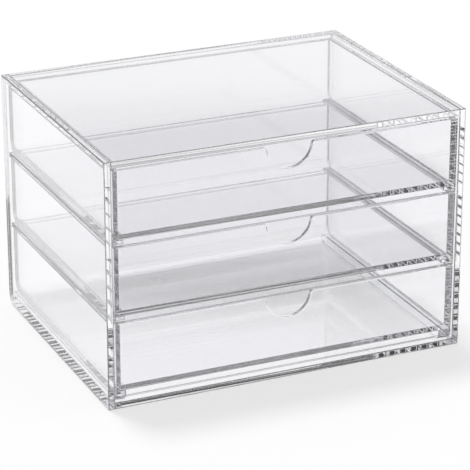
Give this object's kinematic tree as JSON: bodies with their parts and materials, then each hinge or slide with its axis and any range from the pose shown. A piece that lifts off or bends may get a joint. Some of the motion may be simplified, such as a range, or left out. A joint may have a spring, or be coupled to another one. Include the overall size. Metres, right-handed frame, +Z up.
{
  "type": "drawer storage box",
  "caption": "Clear acrylic desktop storage box: an open-fronted case of bonded sheet with stacked slide-out drawers, each pulled by a half-round finger notch.",
  "frame": {"origin": "middle of the underside of the case", "axes": "+X to the right of someone facing the drawers, +Y towards the back, +Z up"},
  "size_m": [0.175, 0.132, 0.116],
  "materials": {
    "clear_acrylic": "clear cast acrylic sheet, polished faces and edges"
  },
  "bodies": {
    "case": {"case_left_side": "clear_acrylic", "case_right_side": "clear_acrylic", "case_top": "clear_acrylic", "case_back_and_base": "clear_acrylic", "bottom_left_rail": "clear_acrylic", "bottom_right_rail": "clear_acrylic", "middle_left_rail": "clear_acrylic", "middle_right_rail": "clear_acrylic", "top_left_rail": "clear_acrylic", "top_right_rail": "clear_acrylic"},
    "bottom_drawer": {"bottom_drawer_front": "clear_acrylic", "bottom_drawer_left_side": "clear_acrylic", "bottom_drawer_right_side": "clear_acrylic", "bottom_drawer_floor_and_back": "clear_acrylic"},
    "middle_drawer": {"middle_drawer_front": "clear_acrylic", "middle_drawer_left_side": "clear_acrylic", "middle_drawer_right_side": "clear_acrylic", "middle_drawer_floor_and_back": "clear_acrylic"},
    "top_drawer": {"top_drawer_front": "clear_acrylic", "top_drawer_left_side": "clear_acrylic", "top_drawer_right_side": "clear_acrylic", "top_drawer_floor_and_back": "clear_acrylic"}
  },
  "joints": [
    {"name": "bottom_drawer_slide", "type": "slide", "parent": "case", "child": "bottom_drawer", "axis": [0, -1, 0], "range_m": [0, 0.105]},
    {"name": "middle_drawer_slide", "type": "slide", "parent": "case", "child": "middle_drawer", "axis": [0, -1, 0], "range_m": [0, 0.105]},
    {"name": "top_drawer_slide", "type": "slide", "parent": "case", "child": "top_drawer", "axis": [0, -1, 0], "range_m": [0, 0.105]}
  ]
}
